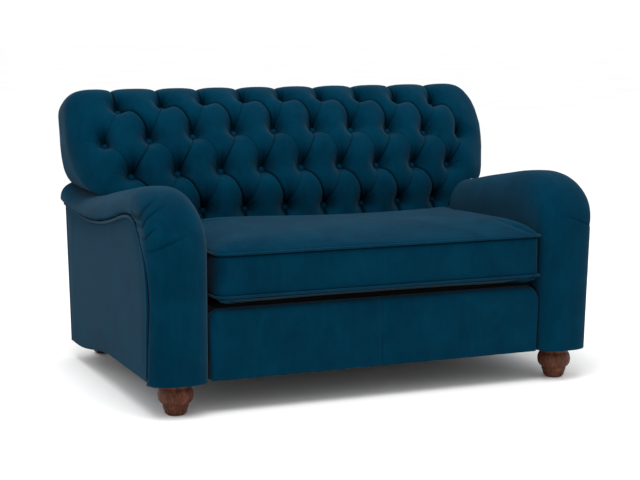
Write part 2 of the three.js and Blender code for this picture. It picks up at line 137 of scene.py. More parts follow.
def resample(curve, count):
    """The same polyline with evenly spaced points."""
    s = np.r_[0, np.cumsum(np.linalg.norm(np.diff(curve, axis=0), axis=1))]
    even = np.linspace(0, s[-1], count)
    return np.stack([np.interp(even, s, curve[:, k]) for k in range(curve.shape[1])], axis=1)


def smoothstep(low, high, value):
    """0 up to low, 1 from high, and a soft rise between them."""
    t = np.clip((value - low) / (high - low), 0, 1)
    return t * t * (3 - 2 * t)


def superellipse(t, n):
    """1 at t = 0, falling to 0 at t = 1 round a quarter of a superellipse."""
    return (1 - np.clip(np.abs(t), 0, 1) ** n) ** (1 / n)


def to_polyline(points, line):
    """(distance, share of the way along) of each point from a polyline."""
    best = np.full(len(points), np.inf)
    share = np.zeros(len(points))
    lengths = np.linalg.norm(np.diff(line, axis=0), axis=1)
    start = np.r_[0, np.cumsum(lengths)]
    for i, length in enumerate(lengths):
        ray = (line[i + 1] - line[i]) / length
        along = np.clip((points - line[i]) @ ray, 0, length)
        gap = np.linalg.norm(points - line[i] - along[:, None] * ray, axis=1)
        closer = gap < best
        best[closer] = gap[closer]
        share[closer] = (start[i] + along[closer]) / start[-1]
    return best, share


def grid_normals(grid):
    """Unit normals of a grid of points, right-handed in its two directions."""
    du = np.gradient(grid, axis=0)
    dv = np.gradient(grid, axis=1)
    normal = np.cross(du, dv)
    return normal / np.maximum(np.linalg.norm(normal, axis=2, keepdims=True), 1e-9)


# ---- Meshes ----
def new_object(name, vertices, faces, material, shade=None):
    """A mesh object from vertices in millimetres, with the painted shade at each of them."""
    mesh = bpy.data.meshes.new(name)
    mesh.from_pydata((np.asarray(vertices) * MM).tolist(), [], [tuple(f) for f in faces])
    mesh.update()
    if shade is not None:
        set_shade(mesh, shade)
    tidy = bmesh.new()
    tidy.from_mesh(mesh)
    bmesh.ops.remove_doubles(tidy, verts=tidy.verts, dist=1e-5)
    bmesh.ops.dissolve_degenerate(tidy, dist=1e-6, edges=tidy.edges)
    bmesh.ops.recalc_face_normals(tidy, faces=tidy.faces)
    tidy.to_mesh(mesh)
    tidy.free()
    mesh.shade_smooth()
    mesh.materials.append(material)
    made = bpy.data.objects.new(name, mesh)
    bpy.context.scene.collection.objects.link(made)
    return made


def set_shade(mesh, shade):
    """Stores painted shade, 0 to 1 at each vertex, for the dark of folds, creases, pits and seams."""
    layer = mesh.attributes.get("fold") or mesh.attributes.new("fold", "FLOAT", "POINT")
    layer.data.foreach_set("value", np.ascontiguousarray(shade, np.float32).ravel())


def ring_faces(rings, count, closed=False):
    """Quads between neighbouring rings of points, and from the last ring to the first when closed."""
    start = np.arange(rings if closed else rings - 1)[:, None] * count
    around = np.arange(count)
    a = (start + around).ravel()
    b = (start + (around + 1) % count).ravel()
    return np.c_[a, b, b + count, a + count] % (rings * count)


def tube_grid(name, grid, material, shade=None):
    """A closed skin over rings, given as a grid of shape (rings, points, 3), with both ends closed."""
    rings, count, _ = grid.shape
    faces = ring_faces(rings, count).tolist()
    ends = [range(count - 1, -1, -1), range((rings - 1) * count, rings * count)]
    return new_object(name, grid.reshape(-1, 3), [*faces, *ends], material, shade)


def sweep(name, path, radius, closed=False, sides=12):
    """A round velvet cord along a path of points."""
    path = np.asarray(path, float)
    if closed:
        ahead = np.roll(path, -1, axis=0) - np.roll(path, 1, axis=0)
    else:
        ahead = np.gradient(path, axis=0)
    ahead /= np.linalg.norm(ahead, axis=1, keepdims=True)
    side = np.zeros_like(path)
    side[0] = np.cross(ahead[0], [0.31, 0.17, 0.94])
    for i in range(1, len(path)):
        side[i] = side[i - 1] - ahead[i] * (side[i - 1] @ ahead[i])
        side[i] /= np.linalg.norm(side[i])
    side[0] /= np.linalg.norm(side[0])
    other = np.cross(ahead, side)
    turn = np.linspace(0, 2 * np.pi, sides, endpoint=False)[None, :, None]
    rings = path[:, None] + radius * (np.cos(turn) * side[:, None] + np.sin(turn) * other[:, None])
    if closed:
        return new_object(name, rings.reshape(-1, 3), ring_faces(len(path), sides, closed=True), VELVET_CORD)
    return tube_grid(name, rings, VELVET_CORD)


def finish_piece(piece, body, node=None):
    """Ties a piece to its body and hides the CAD nodes it stands for."""
    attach(piece, body)
    if node:
        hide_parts(*([node] if isinstance(node, str) else node))
    return piece


# ---- Materials ----
class Nodes:
    """Short names for building a node tree."""

    def __init__(self, name):
        self.material = bpy.data.materials.new(name)
        self.material.use_nodes = True
        self.tree = self.material.node_tree
        self.shader = self.tree.nodes["Principled BSDF"]
        self.place = self.new("ShaderNodeTexCoord").outputs["Object"]

    def new(self, kind, **settings):
        node = self.tree.nodes.new(kind)
        for key, value in settings.items():
            setattr(node, key, value)
        return node

    def link(self, output, socket):
        self.tree.links.new(output, socket)

    def stretched(self, scale):
        mapping = self.new("ShaderNodeMapping")
        mapping.inputs["Scale"].default_value = scale
        self.link(self.place, mapping.inputs["Vector"])
        return mapping.outputs["Vector"]

    def noise(self, scale, detail=3.0, roughness=0.5, stretch=(1, 1, 1), distortion=0.0):
        node = self.new("ShaderNodeTexNoise")
        node.inputs["Scale"].default_value = scale
        node.inputs["Detail"].default_value = detail
        node.inputs["Roughness"].default_value = roughness
        node.inputs["Distortion"].default_value = distortion
        self.link(self.stretched(stretch), node.inputs["Vector"])
        return node.outputs["Fac"]

    def ramp(self, factor, *stops):
        node = self.new("ShaderNodeValToRGB")
        elements = node.color_ramp.elements
        while len(elements) < len(stops):
            elements.new(0.5)
        for element, (position, colour) in zip(elements, stops):
            element.position = position
            element.color = (*colour, 1)
        self.link(factor, node.inputs["Fac"])
        return node.outputs["Color"]

    def two_tone(self, factor, dark, light):
        return self.ramp(factor, (0.3, dark), (0.7, light))

    def range(self, factor, low, high):
        node = self.new("ShaderNodeMapRange")
        node.inputs["To Min"].default_value = low
        node.inputs["To Max"].default_value = high
        self.link(factor, node.inputs["Value"])
        return node.outputs["Result"]

    def mix(self, factor, a, b, blend="MIX"):
        node = self.new("ShaderNodeMix", data_type="RGBA", blend_type=blend)
        for socket, value in ((node.inputs[0], factor), (node.inputs[6], a), (node.inputs[7], b)):
            if isinstance(value, (int, float)):
                socket.default_value = value
            elif isinstance(value, tuple):
                socket.default_value = (*value, 1)
            else:
                self.link(value, socket)
        return node.outputs[2]

    def bump(self, height, strength, distance, after=None):
        node = self.new("ShaderNodeBump")
        node.inputs["Strength"].default_value = strength
        node.inputs["Distance"].default_value = distance
        self.link(height, node.inputs["Height"])
        if after is not None:
            self.link(after, node.inputs["Normal"])
        return node.outputs["Normal"]

    def done(self, colour, roughness, normal, **constants):
        self.link(colour, self.shader.inputs["Base Color"])
        self.link(roughness, self.shader.inputs["Roughness"])
        self.link(normal, self.shader.inputs["Normal"])
        for name, value in constants.items():
            self.shader.inputs[name.replace("_", " ")].default_value = value
        return self.material


VELVET_DARK, VELVET_BASE, VELVET_LIGHT = (0.0, 0.013, 0.028), (0.0001, 0.0205, 0.041), (0.0003, 0.028, 0.054)
# painted shade: the near-black the velvet is pulled to in folds, creases, pits and seams
FOLD_SHADE_COLOUR = (0.0, 0.0006, 0.0016)


def velvet(name, light=VELVET_LIGHT, sheen=0.060):
    """Deep teal velvet: pile brushed in soft patches, a fine nap and a pale bloom at grazing angles."""
    n = Nodes(name)
    patches = n.noise(9, detail=4, roughness=0.55, distortion=0.6)
    streaks = n.noise(60, detail=5, roughness=0.6, stretch=(1, 1, 0.22))
    nap = n.noise(1400, detail=2)
    fuzz = n.noise(420, detail=4, roughness=0.7)
    colour = n.ramp(patches, (0.30, VELVET_DARK), (0.52, VELVET_BASE), (0.74, light))
    colour = n.mix(0.35, colour, n.two_tone(streaks, VELVET_DARK, light))
    colour = n.mix(0.25, colour, n.two_tone(nap, VELVET_DARK, light))
    # Painted shade: where the fold attribute is set, the colour goes most of the way to near black and the
    # sheen is switched off.
    fold = n.new("ShaderNodeAttribute", attribute_name="fold").outputs["Fac"]
    colour = n.mix(fold, colour, n.mix(0.9, colour, FOLD_SHADE_COLOUR))
    n.link(n.range(fold, sheen, 0.0), n.shader.inputs["Sheen Weight"])
    bump = n.bump(nap, 0.35, 0.0004)
    bump = n.bump(fuzz, 0.25, 0.0008, after=bump)
    bump = n.bump(streaks, 0.12, 0.002, after=bump)
    return n.done(
        colour, n.range(patches, 0.82, 0.97), bump,
        Sheen_Roughness=0.45, Sheen_Tint=(0.70, 0.86, 0.98, 1), Specular_IOR_Level=0.0,
    )


def turned_wood(name, dark, mid, light):
    """Stained hardwood with long grain, flecks, open pores and a low satin."""
    n = Nodes(name)
    rings = n.noise(30, detail=5, roughness=0.62, stretch=(1, 1, 0.16), distortion=1.2)
    flecks = n.noise(170, detail=4, roughness=0.75, stretch=(1, 1, 0.35))
    pores = n.noise(260, detail=3, roughness=0.7, stretch=(1, 1, 0.08))
    worn = n.noise(14, detail=3)
    colour = n.ramp(rings, (0.32, dark), (0.5, mid), (0.68, light))
    colour = n.mix(0.55, colour, n.ramp(flecks, (0.36, dark), (0.52, mid), (0.66, light)))
    colour = n.mix(0.5, colour, n.ramp(pores, (0.38, dark), (0.6, light)), "OVERLAY")
    bump = n.bump(pores, 0.5, 0.0008)
    bump = n.bump(flecks, 0.3, 0.001, after=bump)
    return n.done(colour, n.range(worn, 0.45, 0.75), bump, Specular_IOR_Level=0.18)


def sawn_wood(name, dark, light):
    """Bare frame timber with long grain along the widest way."""
    n = Nodes(name)
    grain = n.noise(28, detail=5, roughness=0.6, stretch=(0.12, 0.5, 1), distortion=0.8)
    saw = n.noise(300, detail=2, stretch=(0.3, 1, 1))
    colour = n.mix(0.3, n.two_tone(grain, dark, light), n.two_tone(saw, dark, light))
    return n.done(colour, n.range(grain, 0.6, 0.85), n.bump(saw, 0.3, 0.0006))


def woven(name, dark, light, threads=900):
    """Plain woven lining or webbing."""
    n = Nodes(name)
    weave = n.new("ShaderNodeTexChecker")
    weave.inputs["Scale"].default_value = threads
    n.link(n.place, weave.inputs["Vector"])
    slub = n.noise(120, detail=4)
    threading = n.ramp(weave.outputs["Fac"], (0, dark), (1, light))
    colour = n.mix(0.5, n.two_tone(slub, dark, light), threading)
    bump = n.bump(weave.outputs["Fac"], 0.4, 0.0003)
    return n.done(colour, n.range(slub, 0.8, 0.95), bump, Sheen_Weight=0.02, Specular_IOR_Level=0.1)


def metal(name, dark, light):
    """Zinc-plated steel with fine drawn marks."""
    n = Nodes(name)
    bloom = n.noise(40, detail=4)
    bump = n.bump(n.noise(500, detail=3, stretch=(1, 1, 0.1)), 0.2, 0.0002)
    return n.done(n.two_tone(bloom, dark, light), n.range(bloom, 0.25, 0.5), bump, Metallic=1.0)


def moulded(name, dark, light):
    """Moulded nylon with a faint grain."""
    n = Nodes(name)
    grain = n.noise(700, detail=3)
    return n.done(n.two_tone(grain, dark, light), n.range(grain, 0.45, 0.65), n.bump(grain, 0.2, 0.0002))


def open_foam(name, dark, light):
    """Open-celled foam, yellowed in patches."""
    n = Nodes(name)
    cells = n.new("ShaderNodeTexVoronoi")
    cells.inputs["Scale"].default_value = 600
    n.link(n.place, cells.inputs["Vector"])
    yellowing = n.noise(6, detail=3)
    colour = n.mix(0.3, n.two_tone(yellowing, dark, light), cells.outputs["Color"])
    return n.done(colour, n.range(yellowing, 0.85, 0.95), n.bump(cells.outputs["Distance"], 0.5, 0.0006))


VELVET = velvet("velvet_cover")
VELVET_CORD = velvet("velvet_piping", sheen=0.10)
# painted shade: a darker copy of the cover velvet, with less sheen, for the buttons deep in their pits
SHADED_BUTTON_VELVET = velvet("velvet_buttons_shaded", light=(0.0002, 0.022, 0.044), sheen=0.03)
WALNUT = turned_wood("walnut_feet", (0.020, 0.005, 0.002), (0.110, 0.036, 0.016), (0.24, 0.095, 0.048))
DARK_WOOD = turned_wood("dark_feet", (0.010, 0.004, 0.002), (0.045, 0.018, 0.010), (0.090, 0.040, 0.022))
# the lining's own black, set darker still as painted shade for the gap under the cushion
SHADE_DARKENED_LINING = woven("black_lining_shaded", (0.0008, 0.0008, 0.001), (0.004, 0.004, 0.005))
CAD_LOOKS = {
    "beech": sawn_wood("beech_frame", (0.40, 0.22, 0.09), (0.66, 0.44, 0.23)),
    "plywood": sawn_wood("plywood_boards", (0.38, 0.23, 0.10), (0.62, 0.44, 0.25)),
    "steel": metal("spring_steel", (0.35, 0.35, 0.36), (0.62, 0.63, 0.65)),
    "elastic": woven("elastic_webbing", (0.01, 0.01, 0.012), (0.06, 0.05, 0.05), threads=500),
    "nylon": moulded("black_nylon", (0.010, 0.010, 0.011), (0.025, 0.025, 0.027)),
    "foam": open_foam("seat_foam", (0.70, 0.63, 0.45), (0.82, 0.78, 0.64)),
    "lining": SHADE_DARKENED_LINING,
    "velvet": VELVET,
    "walnut_stain": WALNUT,
    "dark_stain": DARK_WOOD,
}


# ---- Arms ----
SEAM_LINE = spline(SEAM, 160)
RIDGE_LINE = spline(ARM_RIDGE, 120)[::-1]


def arm_top(y):
    """Height of the arm's ridge at y."""
    down = np.clip((HUMP_Y - y) / (HUMP_Y - FRONT), 0, 1)
    return np.where(
        y < HUMP_Y,
        HUMP_Z - HUMP_DROP * (1 - superellipse(down, HUMP_POWER)),
        np.interp(y, RIDGE_LINE[:, 0], RIDGE_LINE[:, 1]),
    )


def lean_in(z, side):
    """How far the outside of the arm stands in at height z."""
    return LEAN[side] * np.maximum(LEAN_TOP - z, 0)


def side_out(y, z, side):
    """How much wider than PANEL_X the outside of the sofa stands at a point."""
    return SPLAY * (y - SPLAY_FROM) - lean_in(z, side)


def arm_sides(y):
    """Inner and outer half widths of the arm at y, measured from the middle of the sofa."""
    share = superellipse(np.clip((FRONT + ARM_BOW - y) / ARM_BOW, 0, 1), BOW_POWER)
    flare = ROLL_FLARE * smoothstep(-200, 300, y)
    return ARM_MID - (ARM_MID - ARM_INNER) * share, ARM_MID + (ARM_OUTER + flare - ARM_MID) * share


def seam_side(y, z):
    """Signed distance from the arm seam, positive above it and in front of it."""
    points = np.c_[y, z]
    gap, share = to_polyline(points, SEAM_LINE)
    at = share * (len(SEAM_LINE) - 1)
    k = np.clip(np.round(at).astype(int), 1, len(SEAM_LINE) - 2)
    ahead = SEAM_LINE[k + 1] - SEAM_LINE[k - 1]
    offset = points - SEAM_LINE[k]
    return gap * np.sign(offset[:, 0] * ahead[:, 1] - offset[:, 1] * ahead[:, 0])


def arm_ring(y):
    """One closed section of the left arm at y."""
    inner, outer = arm_sides(y)
    top = float(arm_top(np.float64(y)))
    middle, half = (inner + outer) / 2, (outer - inner) / 2
    turn = np.linspace(0, np.pi, 57)
    height = np.sin(turn) ** ROLL_POWER
    across = np.sign(np.cos(turn)) * np.abs(np.cos(turn)) ** ROLL_POWER
    drop = np.where(turn < np.pi / 2, ROLL_DROP_INSIDE, ROLL_DROP_OUTSIDE)
    arch = np.c_[middle - half * across, top - drop * (1 - height)]
    inside = np.c_[np.full(60, inner), np.linspace(BASE, arch[0, 1], 60)]
    outside = np.c_[np.full(60, outer), np.linspace(arch[-1, 1], BASE, 60)]
    under = np.c_[np.linspace(outer, inner, 14)[1:-1], np.full(12, BASE)]
    ring = np.concatenate([inside[:-1], arch, outside[1:], under])
    return np.c_[-ring[:, 0], np.full(len(ring), y), ring[:, 1]]


def arm_grid(side):
    """Rings of an arm, made as the left one, closely spaced round its bowed front."""
    nose = np.sin(np.linspace(np.pi / 2, 0, 44)[1:-1]) ** (2 / BOW_POWER)
    stations = np.r_[FRONT + 0.02, FRONT + ARM_BOW * (1 - nose), np.linspace(FRONT + ARM_BOW, ARM_REAR, 170)]
    grid = np.stack([arm_ring(y) for y in stations])
    flat = grid.reshape(-1, 3)
    behind = -SPLAY * np.maximum(flat[:, 1] - SPLAY_FROM, 0)
    outside = flat[:, 0] < -PANEL_X + 12
    outer_share = np.clip((-flat[:, 0] - ARM_MID) / (ARM_OUTER - ARM_MID), 0, 1)
    above = seam_side(flat[outside, 1], flat[outside, 2])
    tucked = -PANEL_X + ROLL_TUCK
    filled = superellipse(1 - np.clip((above - 2) / 16, 0, 1), 2)
    flat[outside, 0] = tucked + (flat[outside, 0] - tucked) * filled
    flat[:, 0] += (lean_in(flat[:, 2], side) + behind) * outer_share
    fold_shade = np.zeros(len(flat))
    # painted shade: a dark line just above the piping, along the roll's tuck
    fold_shade[outside] = 1 - smoothstep(5, 11, above)
    return grid, fold_shade.reshape(grid.shape[:2])


# Sewn pleats round the top of the arm's front as (x, z), each from the outer piping inwards.
ARM_PLEATS = [
    [(-711, 549), (-708, 564), (-701, 577), (-688, 591), (-670, 603), (-648, 613)],
    [(-710, 530), (-706, 546), (-697, 560), (-680, 573), (-661, 584), (-636, 595)],
    [(-709, 501), (-698, 520), (-687, 530), (-668, 540)],
    [(-706, 468), (-685, 478), (-662, 487), (-633, 499), (-602, 510), (-570, 520)],
]


def pleated(grid, fold_shade, pleats):
    """The arm's grid with its pleats pressed in; each has a sharp lower edge and a soft upper one."""
    fold_shade = fold_shade.ravel().copy()
    normal = grid_normals(grid)
    outward = np.sign((normal * (grid - [-ARM_MID, -300, 480])).sum(axis=2, keepdims=True))
    flat = grid.reshape(-1, 3).copy()
    sunk = np.zeros(len(flat))
    near = np.where((flat[:, 1] < -330) & (flat[:, 2] > 440))[0]
    front = flat[near][:, [0, 2]]
    for pleat in pleats:
        line = spline(pleat, 24)
        gap, share = to_polyline(front, line)
        above = front[:, 1] > np.interp(front[:, 0], line[:, 0], line[:, 1])
        fade = smoothstep(0, 0.06, share) * (1 - smoothstep(0.5, 1.0, share))
        press = fade * np.exp(-((gap / np.where(above, 8.0, 2.6)) ** 1.2))
        sunk[near] = np.maximum(sunk[near], 3.0 * press)
        # painted shade along each pleat line
        fold_shade[near] = np.maximum(fold_shade[near], 0.6 * fade * np.exp(-((gap / 2.4) ** 2)))
    moved = flat - (normal * outward).reshape(-1, 3) * sunk[:, None]
    return moved.reshape(grid.shape), fold_shade


def build_arms():
    """Both arms with their piping. The right one is the left one mirrored, with fewer pleats."""
    for side, sign, pleats in (("left", 1, ARM_PLEATS), ("right", -1, ARM_PLEATS[3:])):
        # marks: the painted shade of the roll's tuck and of the pleats
        shaped, marks = pleated(*arm_grid(side), pleats)
        arm = tube_grid(f"{side}_arm_upholstery", shaped * [sign, 1, 1], VELVET, marks)
        finish_piece(arm, "frame", f"{side}_arm_pad")
        x = -sign * (PANEL_X + 3 + side_out(*SEAM_LINE.T, side))
        cord = sweep(f"{side}_arm_welt", np.c_[x, SEAM_LINE], PIPING)
        finish_piece(cord, "frame", f"{side}_arm_piping")
        build_outside_arm(side, sign)


def underside(y):
    """Height of the base, which dips towards the rear feet."""
    return BASE + (REAR_BASE - BASE) * smoothstep(DIP_FRONT, DIP_BACK, y)


def build_outside_arm(side, sign):
    """Flat padded panel under the arm's roll, a little fuller in its middle."""
    top = resample(SEAM_LINE, 200)
    top[:, 0] = np.minimum(top[:, 0], rear_line(top[:, 1]))
    low_y = np.linspace(440, SEAM[-1][0], 200)
    low = np.c_[low_y, underside(low_y)]
    down = np.linspace(0, 1, 70)[None, :, None]
    flat = top[:, None] * (1 - down) + low[:, None] * down
    edge = np.concatenate([top, low[::-1], top[:1]])
    inset = to_polyline(flat.reshape(-1, 2), edge)[0].reshape(flat.shape[:2])
    swell = 3.0 * smoothstep(0, 70, inset) - 4.0 * (1 - superellipse(1 - np.clip(inset / 6, 0, 1), 2))
    outer = np.concatenate([(PANEL_X - 1 + swell)[..., None], flat], axis=2)
    inner = outer.copy()
    inner[..., 0] = PANEL_X - 11
    for skin in (outer, inner):
        skin[..., 0] += side_out(skin[..., 1], skin[..., 2], side)
    loop = np.hstack([outer, inner[:, ::-1]]) * [-sign, 1, 1]
    panel = tube_grid(f"{side}_outside_arm", loop, VELVET)
    finish_piece(panel, "frame", f"{side}_side_panel")


def rear_line(z):
    """Where the outside arm ends at the outside back."""
    return PANEL_REAR + 5 + (z - SHOULDER_LOW) * RAKE


# ---- Buttoned back ----
FACE_LINE = spline(BACK_FACE, 400)
FACE_LENGTH = float(np.linalg.norm(np.diff(FACE_LINE, axis=0), axis=1).sum())


def button_places():
    """(x, distance along the face, depth) of every button, row by row from the top."""
    rows = []
    for height, arch, count, shift, depth in zip(ROW_HEIGHT, ROW_ARCH, ROW_COUNT, ROW_SHIFT, ROW_DEPTH):
        x = (np.arange(count) - (count - 1) / 2) * PITCH
        height = height - arch * (x / ARCH_HALF) ** 2
        x = x + shift - END_DRIFT * np.clip((-x - 300) / 320, 0, 1) ** 2
        rows.append([(float(a), float(b), depth) for a, b in zip(x, height)])
    return rows


# How a fold runs: (leaves sideways, leaves downwards, arrives sideways, arrives downwards) as shares of its
# span, then its depth halfway as a share of the full draw, the depth of its slit and that slit's half width.
FOLDS = {
    "overlap": ((0.52, -0.03, 0.05, 0.58), 0.28, 9.0, 3.2),
    "lower_overlap": ((0.42, 0.06, 0.16, 0.46), 0.20, 8.0, 3.0),
    "arched": ((0.45, 0.10, 0.10, 0.45), 0.11, 2.0, 2.4),
    "dark": ((0.10, 0.30, 0.25, 0.30), 0.18, 4.5, 2.6),
    "faint": ((0.20, 0.30, 0.20, 0.30), 0.10, 2.4, 2.0),
}
# below each row: (falling right, falling left)
FOLDS_BELOW_ROW = [("overlap", "faint"), ("arched", "dark"), ("lower_overlap", "faint")]


def fold_line(start, end, kind):
    """(points on the face, depth halfway, slit depth, slit half width) of a fold between two buttons."""
    shape, middle, slit, width = FOLDS[kind]
    span = end - start
    leave = start + span * shape[:2]
    arrive = end - span * shape[2:]
    t = np.linspace(0, 1, 15)[:, None]
    curve = (1 - t) ** 3 * start + 3 * (1 - t) ** 2 * t * leave + 3 * (1 - t) * t**2 * arrive + t**3 * end
    return curve, middle, slit, width


def crease_lines(rows):
    """Folds from button to button and from the last rows to the edges of the back."""
    lines = []
    for upper, (right, left) in enumerate(FOLDS_BELOW_ROW):
        for x0, w0, _ in rows[upper]:
            for x1, w1, _ in rows[upper + 1]:
                if abs(x1 - x0) < PITCH * 0.75:
                    kind = right if x1 > x0 else left
                    lines.append(fold_line(np.array([x0, w0]), np.array([x1, w1]), kind))
    for x, w, _ in rows[0]:
        lines.append((np.array([[x, w], [x - 3, w + 50], [x + 4, FACE_LENGTH]]), 0.30, 6.0, 3.0))
    for x, w, _ in rows[3]:
        lines.append((np.array([[x, w], [x, 0]]), 0.4, 4.0, 3.0))
    return lines


def end_folds(rows):
    """Short folds that fan outwards from the last button of the upper rows."""
    fans = []
    for row in rows[:3]:
        for (x, w, _), out in ((row[0], -1), (row[-1], 1)):
            for angle, length in ((38, 62), (4, 70), (-34, 56)):
                turn = math.radians(angle)
                tip = np.array([x + out * length * math.cos(turn), w + length * math.sin(turn)])
                fans.append(np.array([[x, w], tip]))
    return fans


def tufting(x, w):
    """How far the cover is drawn in at each point of the face, and how much painted shade it gets there."""
    rows = button_places()
    points = np.c_[x.ravel(), w.ravel()]
    full = np.interp(points[:, 1], [0, 195, 335, 478, 600, 700, FACE_LENGTH], [46, 46, 44, 46, 46, 24, 11])
    height = np.ones(len(points))
    slits = np.zeros(len(points))
    fold_shade = np.zeros(len(points))
    for line, middle, slit, width in crease_lines(rows):
        near = np.all((points > line.min(axis=0) - 95) & (points < line.max(axis=0) + 95), axis=1)
        gap, share = to_polyline(points[near], line)
        open_end = line[-1, 1] > 700 or line[-1, 1] < 1
        ends = 1 - 0.8 * share if open_end else np.abs(2 * share - 1)
        strength = middle + (0.72 - middle) * ends**3
        height[near] *= 1 - strength * np.exp(-gap / 17)
        slits[near] = np.maximum(slits[near], slit * (0.6 + 0.4 * ends) * np.exp(-((gap / width) ** 1.6)))
        # painted shade along each crease, wider and darker towards one end
        lower = smoothstep(0.25, 1.0, share if not open_end else 1 - share)
        spread = 2.1 + 7 * lower**3
        strength = np.clip(slit / 8 + 0.45 * lower**2, 0, 1)
        fold_shade[near] = np.maximum(fold_shade[near], strength * np.exp(-((gap / spread) ** 1.5)))
    for fan in end_folds(rows):
        near = np.hypot(*(points - fan[0]).T) < 90
        gap, share = to_polyline(points[near], fan)
        slits[near] = np.maximum(slits[near], 3.2 * (1 - share) * np.exp(-((gap / 3.0) ** 1.5)))
    for row in rows:
        for bx, bw, _ in row:
            across, rise = points[:, 0] - bx, points[:, 1] - bw
            away = np.hypot(across * 1.05, rise * np.where(rise > 0, 0.62, 1.35))
            near = away < 110
            pit = 1 - np.exp(-((np.maximum(away[near] - 7, 0) / 15) ** 1.1))
            height[near] *= pit
            slits[near] *= smoothstep(4, 18, away[near])
            angle = np.arctan2(rise[near], across[near])
            puckers = 1.6 * np.cos(9 * angle + 0.7) * smoothstep(0.1, 0.9, np.sin(angle))
            slits[near] += puckers * np.exp(-(((away[near] - 20) / 11) ** 2))
            # painted shade: a dark funnel round each button, reaching further above it than below
            funnel = np.hypot(across[near] * 1.1, rise[near] * np.where(rise[near] > 0, 0.38, 1.7))
            pit = np.exp(-((funnel / 18) ** 2)) * (1 + 0.2 * puckers)
            fold_shade[near] = np.maximum(fold_shade[near], pit)
    return (full * (1 - height) + slits).reshape(x.shape), np.clip(fold_shade, 0, 1).reshape(x.shape)


def arm_ceiling(x, y):
    """Height of the arm's top surface over (x, y), or a low value outside the arm."""
    inner, outer = ARM_INNER, ARM_OUTER + ROLL_FLARE
    middle, half = (inner + outer) / 2, (outer - inner) / 2
    across = np.clip(np.abs(np.abs(x) - middle) / half, 0, 1)
    height = np.sqrt(np.clip(1 - across ** (2 / ROLL_POWER), 0, 1)) ** ROLL_POWER
    drop = np.where(np.abs(x) < middle, ROLL_DROP_INSIDE, ROLL_DROP_OUTSIDE)
    ceiling = arm_top(y) - drop * (1 - height)
    return np.where((np.abs(x) > inner) & (np.abs(x) < outer), ceiling, -1e3)


def end_share(x):
    """0 over the straight part of the back, 1 at its tips."""
    return np.clip((np.abs(x) - BACK_STRAIGHT) / (BACK_HALF - BACK_STRAIGHT), 0, 1)


def back_hull(x, w):
    """The plain outer face of the back, before buttoning. Over the arms it starts above them."""
    s = np.linspace(0, FACE_LENGTH, len(FACE_LINE))
    rest = np.interp(np.abs(x), *np.transpose(BACK_REST))
    w = np.maximum(w, np.interp(rest, FACE_LINE[:250, 1], s[:250]))
    y = np.interp(w, s, FACE_LINE[:, 0])
    z = np.interp(w, s, FACE_LINE[:, 1])
    end = end_share(x)
    z = BACK_MIDDLE + (z - BACK_MIDDLE) * superellipse(end, 4)
    crest = np.argmax(FACE_LINE[:, 1])
    at_height = np.interp(z, FACE_LINE[:crest, 1], FACE_LINE[:crest, 0])
    y = y + (at_height - y) * np.clip((BACK_CORE - y) / 200, 0, 1)
    y = y + np.minimum(40 * (x / ARCH_HALF) ** 2, 60) * np.clip((400 - y) / 300, 0, 1)
    turn = np.interp(z, [600, 850], [BACK_STRAIGHT + 40, 500])
    front_end = np.clip((np.abs(x) - turn) / (BACK_HALF - turn), 0, 1)
    least = np.interp(z, [600, 850], [0.34, 0.15])
    front_share = least + (1 - least) * superellipse(front_end, 2)
    rear_share = 0.35 + 0.65 * superellipse(end, 3)
    y = BACK_CORE + (y - BACK_CORE) * np.where(y < BACK_CORE, front_share, rear_share)
    level, left, right = np.transpose(BACK_SPREAD)
    spread = np.where(x < 0, np.interp(z, level, left), np.interp(z, level, right))
    past = np.maximum(np.abs(x) - BACK_STRAIGHT, 0)
    x = x + np.sign(x) * past * spread / (BACK_HALF - BACK_STRAIGHT)
    return np.stack([x, y, z], axis=-1)


def end_calm(x):
    """How much of the draw is left towards the ends of the back."""
    return superellipse(end_share(x), 2)


def back_columns():
    """Columns across the back, closely spaced round its ends."""
    straight = np.linspace(-BACK_STRAIGHT, BACK_STRAIGHT, 620)
    turn = np.linspace(0, np.pi / 2, 60)[1:-1]
    ends = BACK_STRAIGHT + (BACK_HALF - BACK_STRAIGHT) * np.sin(turn)
    return np.r_[-ends[::-1], straight, ends]


def build_back():
    """The buttoned back with its buttons."""
    low, high = 150, 720  # between these the face is buttoned and needs the closest points
    foot, crest = np.linspace(0, low, 20)[:-1], np.linspace(high, FACE_LENGTH, 60)[1:]
    along = np.r_[foot, np.linspace(low, high, 300), crest]
    x, w = np.meshgrid(back_columns(), along, indexing="ij")
    face = back_hull(x, w)
    normal = grid_normals(face)
    normal *= np.sign(-normal[:, 100:101, 1:2] + 1e-9)
    pull, fold_shade = tufting(x, w)
    calm = end_calm(x)
    face = face - normal * (pull * calm)[..., None]
    face[..., 2] = np.maximum(face[..., 2], arm_ceiling(face[..., 0], face[..., 1]) + 1.0)
    behind = back_rear(face[:, -1], face[:, 0])
    loop = np.hstack([face, behind])
    # painted shade on the buttoned face; none on the rear and underside
    fold_shade = np.hstack([fold_shade * calm, np.zeros(behind.shape[:2])])
    back = tube_grid("buttoned_back", loop, VELVET, fold_shade)
    finish_piece(back, "frame", "back_pad")
    build_buttons()


def back_rear(top, bottom, count=8):
    """Rear and underside of the back, from its top edge round to the foot of its face."""
    corner = np.c_[bottom[:, 0], np.minimum(top[:, 1], BACK_REAR), bottom[:, 2]]
    down = top[:, None] + (corner - top)[:, None] * np.linspace(0, 1, count)[1:, None]
    under = corner[:, None] + (bottom - corner)[:, None] * np.linspace(0, 1, count)[1:-1, None]
    under[..., 2] = np.maximum(under[..., 2], arm_ceiling(under[..., 0], under[..., 1]) + 1.0)
    return np.hstack([down, under])


